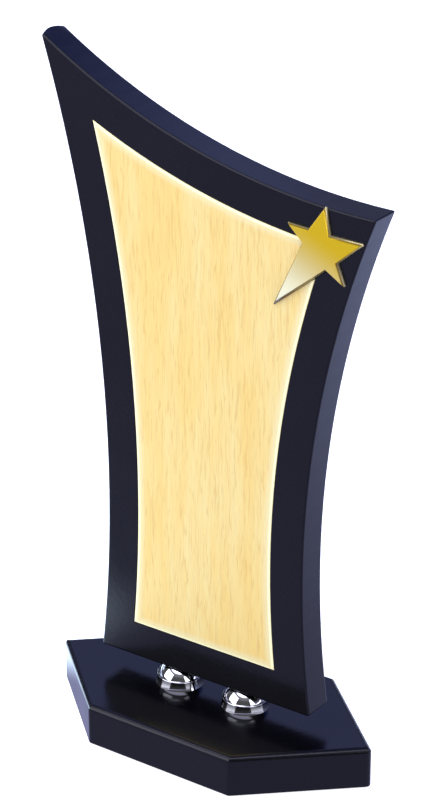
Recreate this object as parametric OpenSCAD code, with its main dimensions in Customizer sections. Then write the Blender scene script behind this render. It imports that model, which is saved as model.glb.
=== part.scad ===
// Star trophy: a black lacquered, sail-shaped panel on a hexagonal base.
// The panel stands on two chrome buttons and is bolted through them from below.
// An inlaid wood-grain plate and a gold shooting star decorate its front.
// Origin: middle of the underside. X runs along the panel, Y to the back, Z up.

/* [Base] */
// Overall width of the base, from point to point
base_w = 167; // [120:1:260]
// Depth of the base, front to back
base_d = 84; // [60:1:130]
// Straight length of the base's front and back edges
base_edge_w = 74; // [55:1:100]
// Thickness of the base board
base_thick = 19; // [14:0.5:30]
// Radius of the base's top edge and upright corners
base_round = 2.5; // [1:0.5:5]
// Thickness of the felt under the base
felt_thick = 1; // [0.5:0.5:3]
// How far the felt's edge lies inside the base's edge
felt_inset = 3; // [2:0.5:8]

/* [Upright panel] */
// Thickness of the panel
panel_thick = 15; // [12:0.5:25]
// Width of the panel's straight bottom edge
foot_w = 113; // [90:1:150]
// How far the pointed top corner reaches to the left
tip_out = 82.5; // [70:0.5:110]
// Height of the pointed top corner above the panel's bottom edge
tip_h = 283.5; // [260:0.5:380]
// How far the right top corner reaches to the right
shoulder_out = 84; // [75:0.5:110]
// Height of the right top corner above the panel's bottom edge
shoulder_h = 234; // [220:0.5:300]
// How deep the left and right edges curve in
side_bow = 15.5; // [8:0.5:20]
// How deep the top edge curves in
top_bow = 12.5; // [6:0.5:18]
// How much the pointed corner is rounded over from front to back
tip_drop = 2.3; // [1:0.1:4]

/* [Face plate] */
// Width of the black border beside and above the plate
border = 16.2; // [12:0.1:25]
// Height of the black border below the plate
foot_border = 16.7; // [12:0.1:30]
// Thickness of the plate
plate_thick = 1.2; // [0.8:0.1:2]
// Thickness of the adhesive sheet behind the plate
sheet_thick = 0.3; // [0.1:0.1:0.5]
// Gap all round between the plate and its pocket
plate_gap = 0.3; // [0.1:0.1:0.6]
// Width of the bevel round the plate's face
bevel_w = 1.4; // [0.5:0.1:3]
// Height of the bevel round the plate's face
bevel_h = 0.25; // [0.1:0.05:0.5]

/* [Star] */
// How far the star's middle lies in from the right top corner
star_in = 25.3; // [20:0.1:35]
// How far the star's middle lies below the right top corner
star_down = 17.2; // [12:0.1:40]
// Reach of the star's top arm, measured on its face
star_arm = 17.4; // [12:0.1:20]
// Reach of the star's long tail, measured on its face
star_tail = 32.6; // [24:0.1:50]
// Distance of the star's inner corners from its middle
star_waist = 8.2; // [6.5:0.1:9]
// Thickness of the star
star_thick = 2; // [1.5:0.1:4]
// How far the star's sides flare out from face to back
star_flare = 1.1; // [0.5:0.1:1.5]
// Width of the blunt end on a short arm
arm_blunt = 1.4; // [0.4:0.1:1.6]
// Width of the blunt end on the tail
tail_blunt = 0.5; // [0.3:0.1:1]
// Thickness of the adhesive pad behind the star
pad_thick = 0.4; // [0.2:0.1:0.8]
// Radius of the adhesive pad behind the star
pad_r = 5.6; // [3:0.1:6]

/* [Buttons] */
// Distance between the two buttons' middles
button_span = 35.8; // [26:0.1:70]
// Radius of a button where it stands on the base
button_r = 11.1; // [11:0.1:14]
// Radius of a button's rim
rim_r = 10.4; // [8.5:0.1:10.8]
// Height of a button's side, up to its rim
rim_h = 4.4; // [3:0.1:6]
// Height of a whole button, which is the gap under the panel
button_h = 10; // [8:0.1:15]
// Radius of the rim's rounded edge
lip_r = 0.4; // [0.1:0.1:0.8]
// Width of the flat ledge between the rim's edge and the dome
ledge_w = 0.3; // [0.1:0.1:1]
// Radius of the flat top that the panel stands on
seat_r = 4.6; // [4:0.1:6]

/* [Fixings] */
// Diameter of the fixing screws
screw_d = 4; // [3:0.5:5]
// Length of a fixing screw below its head
screw_len = 35; // [30:1:45]
// Diameter of a screw head
screw_head_d = 8; // [6:0.5:10]
// Height of a screw head
screw_head_h = 2.6; // [2:0.1:4]
// Width across the flats of the socket in a screw head
socket_w = 2.5; // [1.5:0.5:3]
// Depth of the socket in a screw head
socket_depth = 1.6; // [1:0.1:1.8]
// Outside diameter of a washer
washer_d = 9.5; // [8:0.5:12]
// Thickness of a washer
washer_thick = 0.8; // [0.5:0.1:1.5]
// Depth of the counterbore in the base's underside
counterbore = 7; // [5:0.5:10]
// Outside diameter of a threaded insert
insert_d = 7; // [6.5:0.5:9]
// Length of a threaded insert
insert_len = 12; // [8:0.5:14]
// Clearance round a screw in a plain hole, on the radius
screw_gap = 0.25; // [0.1:0.05:0.5]
// Clearance round a washer or the star's pad, on the radius
loose_gap = 0.4; // [0.2:0.1:0.8]
// Running clearance of a screw in its insert, on the radius
thread_gap = 0.05; // [0.02:0.01:0.1]
// Free depth of the drilled hole past the end of a screw
drill_extra = 2; // [1:0.5:5]

/* [Hidden] */

SMOOTH = 96;  // facets on a small round
SMALL = 32;   // facets on a round of less than a millimetre
WIDE = 256;   // facets on the large arcs
CUT = 1;      // how far a cutting shape runs past the face it cuts
ROUND_EASE = 1.1;  // radius of a rounding's arc, in units of the rounding
REACH = 100;  // size of the blocks that trim the star

base_top_z = felt_thick + base_thick;
panel_z = base_top_z + button_h;
half_panel = panel_thick / 2;
pocket_depth = plate_thick + sheet_thick;
hole_r = screw_d / 2 + screw_gap;
head_z = felt_thick + counterbore - washer_thick;
screw_top_z = head_z + screw_len;
head_room_r = max(washer_d, screw_head_d) / 2 + loose_gap;
foot_r = rim_r - lip_r - ledge_w;  // radius of the dome's foot
dome_z = (seat_r * seat_r - foot_r * foot_r + button_h * button_h - rim_h * rim_h)
    / (2 * (button_h - rim_h));    // height of the dome's middle
dome_r = norm([foot_r, rim_h - dome_z]);
flare = button_r - rim_r;              // how far a button's side flares out towards the base
flare_r = ((rim_h - lip_r) * (rim_h - lip_r) + flare * flare) / (2 * flare);

function unit(v) = v / norm(v);
function turn_left(v) = [-v.y, v.x];

// An arc from a to b that bows by s to the left: its radius and its centre
function arc_r(a, b, s) = (pow(norm(b - a) / 2, 2) + s * s) / (2 * s);
function arc_centre(a, b, s) = (a + b) / 2 + turn_left(unit(b - a)) * (s - arc_r(a, b, s));

foot_left = [-foot_w / 2, 0];
foot_right = [foot_w / 2, 0];
tip = [-tip_out, tip_h];
shoulder = [shoulder_out, shoulder_h];
// Each concave edge of the panel, as the centre and radius of its arc
edge_arcs = [
    [arc_centre(tip, foot_left, side_bow), arc_r(tip, foot_left, side_bow)],
    [arc_centre(shoulder, tip, top_bow), arc_r(shoulder, tip, top_bow)],
    [arc_centre(foot_right, shoulder, side_bow), arc_r(foot_right, shoulder, side_bow)],
];

// Section of what a rounding of radius r removes from a board's edge. The board lies
// at positive x and negative y of its corner. The arc is a little wider than the
// rounding, so that it crosses the two faces instead of only touching them
module edge_waste(r) {
    arc = ROUND_EASE * r;
    inward = (r + sqrt(2 * arc * arc - r * r)) / 2;
    difference() {
        translate([-CUT, -r]) square(r + CUT);
        translate([inward, -inward]) circle(arc, $fn = SMOOTH);
    }
}

// ---- Base ----

// Corners of the base, moved in from its edges by the radius of their rounding
round_x = base_w / 2 - base_round;
round_y = base_d / 2 - base_round;
half_edge = base_edge_w / 2;
base_corners = [[round_x, 0], [half_edge, round_y], [-half_edge, round_y],
                [-round_x, 0], [-half_edge, -round_y], [half_edge, -round_y]];

function next(list, i) = list[(i + 1) % len(list)];
function outward(list, i) = -turn_left(unit(next(list, i) - list[i]));
// The outline with every edge moved out by m, and both ends of each edge kept
function pushed_out(list, m) = [
    for (i = [0 : len(list) - 1])
        for (p = [list[i], next(list, i)])
            p + m * outward(list, i)
];

// Cuts the round along the top edge of the side that runs from a to b
module top_edge_cutter(a, b) {
    side = b - a;
    translate([a.x, a.y, base_thick]) rotate([0, 0, atan2(side.y, side.x)])
        translate([-2 * base_round, -base_round, 0]) rotate([90, 0, 90])
            linear_extrude(norm(side) + 4 * base_round) edge_waste(base_round);
}

module base_felt() {
    color("#20222a")
        linear_extrude(felt_thick) offset(delta = base_round - felt_inset) polygon(base_corners);
}

module base_board() {
    color("#16171f") difference() {
        translate([0, 0, felt_thick]) difference() {
            linear_extrude(base_thick) {
                polygon(pushed_out(base_corners, base_round));
                for (p = base_corners) translate(p) circle(base_round, $fn = SMOOTH);
            }
            for (i = [0 : len(base_corners) - 1])
                top_edge_cutter(base_corners[i], next(base_corners, i));
        }
        at_both_buttons() {
            translate([0, 0, felt_thick - CUT])
                cylinder(h = base_thick + 2 * CUT, r = hole_r, $fn = SMOOTH);
            translate([0, 0, felt_thick - CUT])
                cylinder(h = counterbore + CUT, r = head_room_r, $fn = SMOOTH);
        }
    }
}

// ---- Buttons and fixings ----

module at_button(side) translate([side * button_span / 2, 0, 0]) children();
module at_both_buttons() for (side = [-1, 1]) at_button(side) children();

// A short drum with a rounded rim, a dome on it and a flat top for the panel to stand on
module button(side) {
    color("#c8ccd2") at_button(side) translate([0, 0, base_top_z])
        rotate_extrude($fn = SMOOTH) difference() {
            union() {
                difference() {
                    polygon([[0, 0], [button_r, 0], [button_r, rim_h - lip_r], [rim_r - lip_r, rim_h - lip_r],
                             [rim_r - lip_r, rim_h], [0, rim_h]]);
                    translate([rim_r + flare_r, rim_h - lip_r]) circle(flare_r, $fn = SMOOTH);
                }
                intersection() {
                    translate([rim_r - lip_r, rim_h - lip_r]) circle(lip_r, $fn = SMALL);
                    translate([rim_r - lip_r, rim_h - lip_r]) square(lip_r);
                }
                intersection() {
                    translate([0, dome_z]) circle(dome_r, $fn = SMOOTH);
                    translate([0, rim_h]) square([2 * button_r, button_h - rim_h]);
                }
            }
            translate([-dome_r, -CUT - dome_r]) square([dome_r + hole_r, button_h + 2 * (CUT + dome_r)]);
        }
}

module screw(side) {
    color("#9aa0a6") at_button(side) translate([0, 0, head_z]) difference() {
        union() {
            cylinder(h = screw_len, r = screw_d / 2, $fn = SMOOTH);
            translate([0, 0, -screw_head_h])
                cylinder(h = screw_head_h, r = screw_head_d / 2, $fn = SMOOTH);
        }
        translate([0, 0, -screw_head_h - CUT])
            cylinder(h = socket_depth + CUT, r = socket_w / sqrt(3), $fn = 6);
    }
}

module washer(side) {
    color("#b4b8bc") at_button(side) translate([0, 0, head_z]) difference() {
        cylinder(h = washer_thick, r = washer_d / 2, $fn = SMOOTH);
        translate([0, 0, -CUT]) cylinder(h = washer_thick + 2 * CUT, r = hole_r, $fn = SMOOTH);
    }
}

module insert(side) {
    color("#b8913c") at_button(side) translate([0, 0, panel_z]) difference() {
        cylinder(h = insert_len, r = insert_d / 2, $fn = SMOOTH);
        translate([0, 0, -CUT])
            cylinder(h = insert_len + 2 * CUT, r = screw_d / 2 + thread_gap, $fn = SMOOTH);
    }
}

// ---- Upright panel and its plate ----

// Stands a flat shape upright: its x along X, its y up from the panel's bottom
// edge, and its thickness towards the front, from depth in front of the middle
module upright(depth) translate([0, 0, panel_z]) rotate([90, 0, 0]) translate([0, 0, depth]) children();

// The panel's outline, drawn a little too large: its straight-sided shape
module sail_blank(bottom) {
    polygon([[foot_left.x - CUT, bottom], [foot_right.x + CUT, bottom],
             shoulder + [CUT, CUT], tip + [-CUT, CUT]]);
}

// The panel's outline moved in by side at its three curved edges and by foot below
module sail(side, foot) {
    difference() {
        sail_blank(foot);
        for (arc = edge_arcs) translate(arc[0]) circle(arc[1] + side, $fn = WIDE);
    }
}

// Rounds the pointed corner over from front to back, along an arc
module tip_cutter() {
    along_side = unit(foot_left - tip);
    along_top = unit(shoulder - tip);
    out = -unit(along_side + along_top);
    r = (half_panel * half_panel + tip_drop * tip_drop) / (2 * tip_drop);
    translate([tip.x, 0, panel_z + tip.y]) rotate([0, atan2(out.x, out.y), 0]) difference() {
        translate([-half_panel, -panel_thick, -tip_drop - CUT])
            cube([panel_thick, 2 * panel_thick, tip_drop + 3 * CUT]);
        translate([-panel_thick, 0, -r]) rotate([0, 90, 0])
            cylinder(h = 2 * panel_thick, r = r, $fn = WIDE);
    }
}

module upright_panel() {
    color("#15161d") difference() {
        upright(-half_panel) linear_extrude(panel_thick) sail(0, 0);
        upright(half_panel - pocket_depth)
            linear_extrude(pocket_depth + CUT) sail(border, foot_border);
        tip_cutter();
        at_both_buttons() {
            translate([0, 0, panel_z - CUT])
                cylinder(h = insert_len + CUT, r = insert_d / 2, $fn = SMOOTH);
            translate([0, 0, panel_z - CUT])
                cylinder(h = screw_top_z + drill_extra - panel_z + CUT, r = hole_r, $fn = SMOOTH);
        }
    }
}

module plate_sheet() {
    color("#d8d2c0") upright(half_panel - pocket_depth)
        linear_extrude(sheet_thick) sail(border + plate_gap + bevel_w, foot_border + plate_gap + bevel_w);
}

// The plate's face is bevelled: a cone along each curved edge, a tilted block below
module face_plate() {
    side = border + plate_gap;
    foot = foot_border + plate_gap;
    color("#f2d68c") upright(half_panel - plate_thick) difference() {
        linear_extrude(plate_thick) sail(side, foot);
        translate([0, 0, plate_thick - bevel_h]) {
            for (arc = edge_arcs) translate(arc[0])
                cylinder(h = bevel_h, r1 = arc[1] + side, r2 = arc[1] + side + bevel_w, $fn = WIDE);
            translate([0, foot, 0]) rotate([atan2(bevel_h, bevel_w), 0, 0])
                translate([-foot_w, -foot_w, 0]) cube([2 * foot_w, 2 * foot_w, panel_thick]);
        }
    }
}

// ---- Star ----

// The star's face, counter-clockwise: [angle, distance from the middle], arms at even places
star_polar = [
    [83, star_arm], [125.5, star_waist * 1.08],
    [151, star_arm * 0.93], [169.5, star_waist * 0.94],
    [232, star_tail], [293, star_waist * 0.98],
    [312, star_arm * 0.94], [333.5, star_waist * 1.05],
    [377, star_arm * 1.13], [415, star_waist * 0.92],
];
star_points = [for (p = star_polar) p[1] * [cos(p[0]), sin(p[0])]];
TAIL = 4;  // place of the tail's point in the list

module at_star(depth) upright(depth) translate(shoulder - [star_in, star_down]) children();

// Everything outside the sloping side of the star that runs from point a to point b
module beyond_side(a, b) {
    side = b - a;
    translate([a.x, a.y, star_thick]) rotate([0, 0, atan2(side.y, side.x)])
        rotate([-atan2(star_flare, star_thick), 0, 0])
            translate([-REACH, -REACH, -REACH]) cube([2 * REACH, REACH, 2 * REACH]);
}

// A blunt end on the arm at place i: everything past a flat across it
module beyond_tip(i, blunt) {
    point = star_points[i];
    last = star_points[(i + len(star_points) - 1) % len(star_points)];
    out = -unit(unit(last - point) + unit(next(star_points, i) - point));
    half = acos(unit(last - point) * -out);
    reach = star_flare / sin(half) - blunt / 2 / tan(half);
    translate([point.x, point.y, -CUT]) rotate([0, 0, atan2(out.y, out.x)])
        translate([reach, -REACH / 2, 0]) cube([REACH, REACH, star_thick + 2 * CUT]);
}

module star_emblem() {
    color("#d2b22e") at_star(half_panel) difference() {
        cylinder(h = star_thick, r = star_tail + 4 * star_flare, $fn = SMOOTH);
        for (i = [1 : 2 : 9]) intersection() {
            beyond_side(star_points[i - 1], star_points[i]);
            beyond_side(star_points[i], next(star_points, i));
        }
        for (i = [0 : 2 : 8]) beyond_tip(i, i == TAIL ? tail_blunt : arm_blunt);
        translate([0, 0, -CUT]) cylinder(h = pad_thick + CUT, r = pad_r + loose_gap, $fn = SMOOTH);
    }
}

module star_pad() {
    color("#e8e8e4") at_star(half_panel) cylinder(h = pad_thick, r = pad_r, $fn = SMOOTH);
}

base_felt();
base_board();
button(-1);  // button_left
button(1);  // button_right
upright_panel();
plate_sheet();
face_plate();
star_pad();
star_emblem();
screw(-1);  // screw_left
screw(1);  // screw_right
washer(-1);  // washer_left
washer(1);  // washer_right
insert(-1);  // insert_left
insert(1);  // insert_right
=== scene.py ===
import math

import bpy
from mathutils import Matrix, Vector


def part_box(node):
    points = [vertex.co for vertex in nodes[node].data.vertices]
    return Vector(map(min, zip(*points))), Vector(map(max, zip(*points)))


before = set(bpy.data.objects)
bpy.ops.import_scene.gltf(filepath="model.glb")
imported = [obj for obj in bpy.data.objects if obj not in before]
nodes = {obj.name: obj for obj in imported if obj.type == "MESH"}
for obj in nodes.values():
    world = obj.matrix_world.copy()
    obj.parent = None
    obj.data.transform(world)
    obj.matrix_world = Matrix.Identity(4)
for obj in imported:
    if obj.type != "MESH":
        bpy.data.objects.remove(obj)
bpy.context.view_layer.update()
scene = bpy.context.scene
MM = 0.001
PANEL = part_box("upright_panel")
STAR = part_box("star_emblem")
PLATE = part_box("face_plate")

# ---- The panel's outline, in x and z, with sizes as in the CAD ----

FOOT_WIDTH = 113 * MM
SHOULDER_HEIGHT = 234 * MM
SIDE_BOW = 15.5 * MM
TOP_BOW = 12.5 * MM
BORDER = 16.2 * MM
PLATE_GAP = 0.3 * MM


def arc_of(start, end, bow):
    """Centre and radius of the arc from start to end that bows to the left by bow."""
    half = (end - start) / 2
    radius = (half.length_squared + bow * bow) / (2 * bow)
    left = Vector((-half.y, half.x)).normalized()
    return (start + end) / 2 + left * (bow - radius), radius


TIP = Vector((PANEL[0].x, PANEL[1].z))
SHOULDER = Vector((PANEL[1].x, PANEL[0].z + SHOULDER_HEIGHT))
FOOT_LEFT = Vector((-FOOT_WIDTH / 2, PANEL[0].z))
FOOT_RIGHT = Vector((FOOT_WIDTH / 2, PANEL[0].z))
EDGE_ARCS = [arc_of(TIP, FOOT_LEFT, SIDE_BOW),
             arc_of(SHOULDER, TIP, TOP_BOW),
             arc_of(FOOT_RIGHT, SHOULDER, SIDE_BOW)]

# ---- Node helpers ----


class Shader:
    """The node tree of a material or of the world, with short calls for the nodes used here."""

    def __init__(self, name, owners=bpy.data.materials, coords="Object"):
        self.owner = owners.new(name)
        self.owner.use_nodes = True
        self.tree = self.owner.node_tree
        self.tree.nodes.clear()
        self.coords = self.node("TexCoord").outputs[coords]

    def node(self, kind, inputs=(), **settings):
        made = self.tree.nodes.new("ShaderNode" + kind)
        for key, value in settings.items():
            setattr(made, key, value)
        for key, value in dict(inputs).items():
            self.put(made.inputs[key], value)
        return made

    def put(self, socket, value):
        if isinstance(value, bpy.types.NodeSocket):
            self.tree.links.new(value, socket)
        else:
            socket.default_value = value

    def math(self, operation, a, b=0.0):
        made = self.node("Math", operation=operation)
        self.put(made.inputs[0], a)
        self.put(made.inputs[1], b)
        return made.outputs[0]

    def times(self, a, b):
        return self.math("MULTIPLY", a, b)

    def split(self, vector):
        """The outputs X, Y and Z of a vector."""
        return self.node("SeparateXYZ", {"Vector": vector}).outputs

    def stretched(self, scale, vector=None):
        """Coordinates in metres, by default the object's own, multiplied by scale."""
        made = self.node("Mapping", {"Vector": vector or self.coords, "Scale": scale})
        return made.outputs[0]

    def noise(self, scale, detail=2.0, rough=0.5, vector=None, output="Fac"):
        made = self.node("TexNoise", {"Vector": vector or self.coords, "Scale": scale,
                                      "Detail": detail, "Roughness": rough})
        return made.outputs[output]

    def spread(self, value, low, high, to_low=0.0, to_high=1.0, smooth=True):
        made = self.node("MapRange", {"Value": value, "From Min": low, "From Max": high,
                                      "To Min": to_low, "To Max": to_high},
                         interpolation_type="SMOOTHSTEP" if smooth else "LINEAR")
        return made.outputs["Result"]

    def mix(self, share, a, b):
        made = self.node("Mix", data_type="RGBA")
        self.put(made.inputs["Factor"], share)
        self.put(made.inputs["A"], a)
        self.put(made.inputs["B"], b)
        return made.outputs["Result"]

    def bump(self, height, strength, distance):
        inputs = {"Height": height, "Strength": strength, "Distance": distance}
        return self.node("Bump", inputs).outputs[0]

    def finish(self, **sockets):
        surface = self.node("BsdfPrincipled")
        for key, value in sockets.items():
            self.put(surface.inputs[key.replace("_", " ")], value)
        self.node("OutputMaterial", {"Surface": surface.outputs[0]})
        return self.owner


def rgb(red, green, blue):
    """A colour given as it looks on screen, 0 to 255, turned to linear light."""
    def linear(value):
        value /= 255
        return value / 12.92 if value <= 0.04045 else ((value + 0.055) / 1.055) ** 2.4
    return linear(red), linear(green), linear(blue), 1.0


# ---- Rounded edges ----

FLAT = 0.01 * MM
EDGE_SLACK = 4 * MM
PANEL_ROUND = 0.9 * MM
STAR_ROUND = 0.12 * MM


def on_panel_rim(point):
    """Whether a vertex lies on the outline of the panel's front or back face."""
    low, high = PANEL
    if min(point.y - low.y, high.y - point.y) > FLAT:
        return False
    flat = Vector((point.x, point.z))
    past_arcs = [(flat - centre).length - radius for centre, radius in EDGE_ARCS]
    return min(past_arcs + [point.z - low.z]) < EDGE_SLACK


def on_star_face(point):
    return point.y < STAR[0].y + FLAT


def round_edges(node, width, chosen):
    """Rounds the sharp edges between the chosen vertices, and shades them smoothly into the faces."""
    thing = nodes[node]
    group = thing.vertex_groups.new(name="edges")
    group.add([v.index for v in thing.data.vertices if chosen(v.co)], 1.0, "REPLACE")
    weld = thing.modifiers.new("weld", "WELD")
    weld.merge_threshold = 0.001 * MM
    plain = thing.modifiers.new("plain", "DECIMATE")
    plain.decimate_type = "DISSOLVE"
    plain.angle_limit = math.radians(0.1)
    bevel = thing.modifiers.new("round", "BEVEL")
    bevel.limit_method = "VGROUP"
    bevel.vertex_group = group.name
    bevel.width = width
    bevel.segments = 3
    bevel.use_clamp_overlap = False
    turn = thing.modifiers.new("turn", "WEIGHTED_NORMAL")
    turn.mode = "FACE_AREA"
    turn.weight = 100


round_edges("upright_panel", PANEL_ROUND, on_panel_rim)
round_edges("star_emblem", STAR_ROUND, on_star_face)

# ---- Materials ----


def wear(node, material):
    mesh = nodes[node].data
    mesh.materials.clear()
    mesh.materials.append(material)


def lacquer():
    """Deep black, with clouds in its colour and gloss, a fine ripple and specks of dust."""
    s = Shader("black_lacquer")
    black, grey, dust = rgb(3, 2, 4), rgb(8, 7, 11), rgb(50, 56, 80)
    smooth, dull = 0.16, 0.22
    cloud = s.noise(28, 3)
    speck = s.spread(s.noise(2600, 1, 0.4), 0.70, 0.78)
    colour = s.mix(s.times(speck, 0.25), s.mix(cloud, black, grey), dust)
    ripple = s.noise(420, 2)
    rough = s.math("ADD", s.spread(cloud, 0.3, 0.7, smooth, dull), s.times(speck, 0.15))
    return s.finish(Base_Color=colour, Roughness=rough, Specular_IOR_Level=0.28,
                    Normal=s.bump(ripple, 0.10, 0.0004))


def chrome():
    """Polished, with a slight haze."""
    s = Shader("chrome")
    haze = s.noise(300, 3)
    return s.finish(Base_Color=s.mix(haze, rgb(222, 221, 217), rgb(236, 235, 230)), Metallic=1.0,
                    Roughness=s.spread(haze, 0.3, 0.7, 0.03, 0.07))


def gold():
    """Deep gold on top, paler along the tail. The walls carry painted shading: a painted shade near the
    face that gives way to a painted highlight towards the back, and a painted shadow darkening them
    along the tail.
    """
    s = Shader("gold")
    deep_gold, pale_gold, shade = rgb(230, 193, 30), rgb(255, 255, 205), rgb(150, 118, 30)
    # Painted shade and painted highlight for the walls, and a dark brown painted shadow for the walls
    # along the tail.
    wall_front_painted_shade, wall_back_painted_highlight, tail_wall_painted_shadow = rgb(164, 134, 48), rgb(236, 220, 158), rgb(96, 60, 4)
    low, high = STAR
    place = s.split(s.coords)
    up = s.spread(place["Z"], low.z, high.z, smooth=False)
    right = s.spread(place["X"], low.x, high.x, smooth=False)
    deep = s.spread(place["Y"], low.y, high.y, smooth=False)
    from_tail = s.math("ADD", s.times(up, 0.7), s.times(right, 0.3))
    grain = s.noise(1800, 2)
    face = s.mix(s.spread(from_tail, 0.08, 0.68), pale_gold, deep_gold)
    # Painted shading: each wall goes from a painted shade at the face to a painted highlight at the
    # back.
    wall_painted_shading = s.mix(s.spread(deep, 0.3, 0.55), wall_front_painted_shade, wall_back_painted_highlight)
    # Painted shadow: the walls turn dark brown along the tail.
    wall_painted_shading = s.mix(s.spread(from_tail, 0.08, 0.42, 1, 0), wall_painted_shading, tail_wall_painted_shadow)
    colour = s.mix(s.spread(deep, 0.06, 0.16), face, wall_painted_shading)
    colour = s.mix(s.times(grain, 0.12), colour, shade)
    return s.finish(Base_Color=colour, Metallic=s.spread(from_tail, 0.1, 0.5, 0.0, 0.35),
                    Roughness=s.spread(grain, 0.3, 0.7, 0.16, 0.24), Specular_IOR_Level=0.12)


def rim_distance(s):
    """How far a point of the plate is from the plate's nearest edge, in metres."""
    place = s.split(s.coords)
    flat = s.node("CombineXYZ", {"X": place["X"], "Z": place["Z"]}).outputs[0]
    nearest = s.math("SUBTRACT", place["Z"], PLATE[0].z)
    for centre, radius in EDGE_ARCS:
        away = s.node("VectorMath", {0: flat, 1: (centre.x, 0, centre.y)},
                      operation="DISTANCE").outputs["Value"]
        gap = s.math("SUBTRACT", away, radius + BORDER + PLATE_GAP)
        nearest = s.math("MINIMUM", nearest, gap)
    return nearest


def plate():
    """Printed wood grain with upright lines, paler near the plate's bright rim, with a painted highlight
    glowing as emission along the rim.
    """
    s = Shader("grain_plate")
    light, warm, patch = rgb(255, 231, 146), rgb(255, 224, 130), rgb(255, 212, 106)
    line, dot = rgb(224, 170, 72), rgb(214, 162, 78)
    # The glint colour is a painted highlight: an emission colour along the rim.
    near_rim, rim_colour, rim_glint_painted_highlight = rgb(255, 243, 176), rgb(255, 252, 200), (0.26, 0.21, 0.05, 1)
    sway = s.stretched((0.0016, 0, 0), s.noise(160, 1, output="Color"))
    wavy = s.node("VectorMath", {0: s.coords, 1: sway}, operation="ADD").outputs[0]

    def upright_noise(scale, detail, rough, squeeze):
        """Noise drawn out along the grain, more so the smaller squeeze is."""
        return s.noise(scale, detail, rough, s.stretched((1, 1, squeeze), wavy))

    def lines(scale, squeeze, width):
        """Thin lines along the grain, where a stretched noise crosses its middle value."""
        off = s.math("ABSOLUTE", s.math("SUBTRACT", upright_noise(scale, 1, 0.4, squeeze), 0.5))
        return s.spread(off, 0, width, 1, 0)

    broken = s.spread(upright_noise(900, 2, 0.6, 0.10), 0.32, 0.58)
    both = s.math("MAXIMUM", lines(640, 0.028, 0.04), lines(950, 0.03, 0.04))
    hair = s.times(both, broken)
    pore = s.spread(upright_noise(1500, 1, 0.5, 0.07), 0.62, 0.74)
    cloud = upright_noise(480, 2, 0.5, 0.10)
    band = s.noise(75, 2, 0.5, s.stretched((1, 1, 0.15)))
    edge = rim_distance(s)
    rim = s.spread(edge, 0.6 * MM, 1.6 * MM, 1, 0)
    colour = s.mix(s.spread(band, 0.35, 0.65), light, warm)
    colour = s.mix(s.spread(cloud, 0.38, 0.66, 0, 0.2), colour, patch)
    colour = s.mix(s.times(hair, 0.42), colour, line)
    colour = s.mix(s.times(pore, 0.14), colour, dot)
    colour = s.mix(s.spread(edge, 1.2 * MM, 5 * MM, 0.75, 0), colour, near_rim)
    colour = s.mix(rim, colour, rim_colour)
    return s.finish(Base_Color=colour, Roughness=s.spread(cloud, 0.3, 0.7, 0.42, 0.55),
                    # The rim's emission paints a highlight that glows along the plate's edge.
                    Specular_IOR_Level=0.3, Emission_Color=s.mix(rim, (0, 0, 0, 1), rim_glint_painted_highlight),
                    Emission_Strength=1.0)


def plain_metal(name, light, dark, rough):
    """Turned metal with fine marks across its length."""
    s = Shader(name)
    cut = s.noise(900, 2, 0.5, s.stretched((1, 1, 8)))
    return s.finish(Base_Color=s.mix(cut, light, dark), Metallic=1.0,
                    Roughness=s.spread(cut, 0.3, 0.7, rough, rough + 0.15))


def felt():
    """Dark felt with a fuzzy nap."""
    s = Shader("felt")
    nap = s.noise(2200, 4, 0.7)
    return s.finish(Base_Color=s.mix(nap, rgb(16, 16, 20), rgb(46, 46, 54)), Roughness=0.95,
                    Specular_IOR_Level=0.1, Sheen_Weight=0.4, Sheen_Roughness=0.6,
                    Normal=s.bump(nap, 0.5, 0.0006))


def adhesive():
    """Off-white foam tape."""
    s = Shader("adhesive")
    foam = s.noise(1500, 3, 0.6)
    return s.finish(Base_Color=s.mix(foam, rgb(225, 222, 210), rgb(205, 200, 184)), Roughness=0.7,
                    Normal=s.bump(foam, 0.2, 0.0003))


black = lacquer()
shiny = chrome()
steel = plain_metal("steel", rgb(190, 191, 195), rgb(150, 152, 157), 0.28)
brass = plain_metal("insert_brass", rgb(214, 176, 96), rgb(178, 140, 66), 0.3)
glue = adhesive()
for piece in ("base_board", "upright_panel"):
    wear(piece, black)
for side in ("left", "right"):
    wear("button_" + side, shiny)
    wear("screw_" + side, steel)
    wear("washer_" + side, steel)
    wear("insert_" + side, brass)
wear("star_emblem", gold())
wear("face_plate", plate())
wear("base_felt", felt())
wear("plate_sheet", glue)
wear("star_pad", glue)

# ---- Floor, light and camera ----


def seen_by_camera(s):
    return s.node("LightPath").outputs["Is Camera Ray"]


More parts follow.
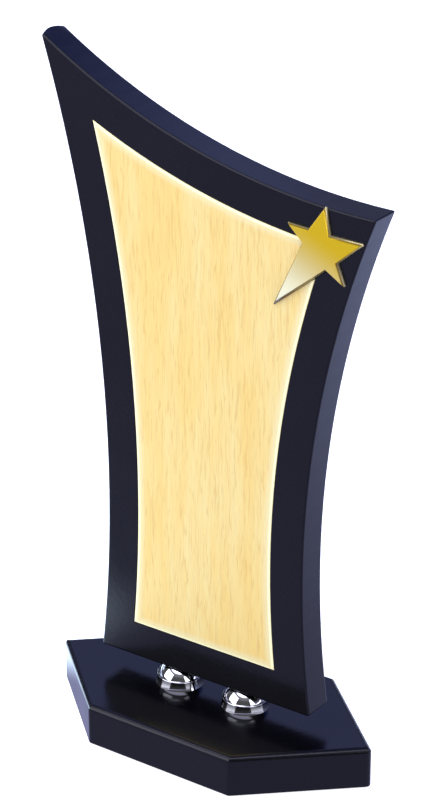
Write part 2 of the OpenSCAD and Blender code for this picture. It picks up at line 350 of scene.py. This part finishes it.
def floor():
    """White where the camera looks at it. In reflections it is dimmer, and lighter behind and left."""
    half = 6.0
    corners = [(-half, -half, 0), (half, -half, 0), (half, half, 0), (-half, half, 0)]
    mesh = bpy.data.meshes.new("floor")
    mesh.from_pydata(corners, [], [(0, 1, 2, 3)])
    thing = bpy.data.objects.new("floor", mesh)
    scene.collection.objects.link(thing)

    s = Shader("floor_paper")
    front_glow, back_glow, left_glow = (0.48, 0.49, 0.84, 1), (0.82, 0.94, 1.55, 1), (4.1, 5.1, 6.4, 1)
    white_glow, dark_paper = (0.85, 0.85, 0.86, 1), rgb(60, 60, 62)
    seen = seen_by_camera(s)
    place = s.split(s.coords)
    behind = s.spread(place["Y"], -0.05, 0.45, smooth=False)
    beside = s.times(s.spread(place["X"], -0.34, -0.24), s.spread(place["X"], -0.12, -0.08, 1, 0))
    left = s.times(beside, s.spread(place["Y"], -0.12, -0.04))
    glow = s.mix(left, s.mix(behind, front_glow, back_glow), left_glow)
    paper = s.mix(s.noise(6, 3), rgb(236, 236, 238), rgb(242, 242, 243))
    mesh.materials.append(s.finish(Base_Color=s.mix(seen, dark_paper, paper), Roughness=0.9,
                                   Specular_IOR_Level=0.1,
                                   Emission_Color=s.mix(seen, glow, white_glow),
                                   Emission_Strength=1.0))


def aim_at(thing, aim, azimuth, elevation, distance):
    """Places a thing so that it faces aim. Azimuth 0 is in front and grows to the right."""
    a, e = math.radians(azimuth), math.radians(elevation)
    away = Vector((math.sin(a) * math.cos(e), -math.cos(a) * math.cos(e), math.sin(e)))
    thing.location = aim + away * distance
    thing.rotation_euler = (-away).to_track_quat("-Z", "Y").to_euler()
    scene.collection.objects.link(thing)


def softbox(name, azimuth, elevation, width, height, watts, mirrored=True):
    """A rectangular lamp facing the trophy's middle, cool if mirrored in the trophy and warm if not."""
    lamp = bpy.data.lights.new(name, "AREA")
    lamp.shape = "RECTANGLE"
    lamp.size, lamp.size_y = width, height
    lamp.energy = watts
    lamp.color = (0.90, 0.93, 1.14) if mirrored else (1, 0.97, 0.88)
    thing = bpy.data.objects.new(name, lamp)
    thing.visible_glossy = mirrored
    aim_at(thing, Vector((0, 0, 0.13)), azimuth, elevation, distance=1.3)


def sky():
    """Dim in front with a bright patch overhead, blue behind, white where the camera looks."""
    s = Shader("studio", bpy.data.worlds, "Generated")
    scene.world = s.owner
    front_low, front_high, lit_patch = (0.08, 0.08, 0.09, 1), (0.22, 0.22, 0.26, 1), (3.6, 3.7, 5.2, 1)
    back_low, back_left, back_right = (0.21, 0.23, 0.40, 1), (0.48, 0.57, 1.25, 1), (0.06, 0.10, 0.55, 1)
    toward = s.split(s.coords)
    overhead = s.times(s.spread(toward["Z"], 0.74, 0.82), s.spread(toward["Y"], -0.16, -0.26))
    front = s.mix(s.spread(toward["Z"], 0.45, 0.7), front_low, front_high)
    front = s.mix(overhead, front, lit_patch)
    back_high = s.mix(s.spread(toward["X"], -0.45, 0.3), back_left, back_right)
    back = s.mix(s.spread(toward["Z"], 0.36, 0.58), back_low, back_high)
    around = s.mix(s.spread(toward["Y"], -0.2, 0.5), front, back)
    light = s.node("Background", {"Color": s.mix(seen_by_camera(s), around, (1, 1, 1, 1))})
    s.node("OutputWorld", {"Surface": light.outputs[0]})


def camera():
    """At the photograph's angle: 35.1 degrees to the right of the front and 24 above."""
    eye = bpy.data.cameras.new("camera")
    eye.sensor_width = 36
    eye.lens = 113.4
    eye.clip_start, eye.clip_end = 0.05, 50
    thing = bpy.data.objects.new("camera", eye)
    aim_at(thing, Vector((5.9, 0, 164.8)) * MM, 35.1, 24.0, distance=1.0703)
    scene.camera = thing


floor()
softbox("softbox_left", -38, 21, 1.1, 0.85, 9.6)
softbox("softbox_right", 90, 21, 1.45, 0.85, 9.6)
softbox("fill", -5, 30, 1.4, 1.4, 3, mirrored=False)
sky()
camera()
scene.view_settings.view_transform = "Standard"
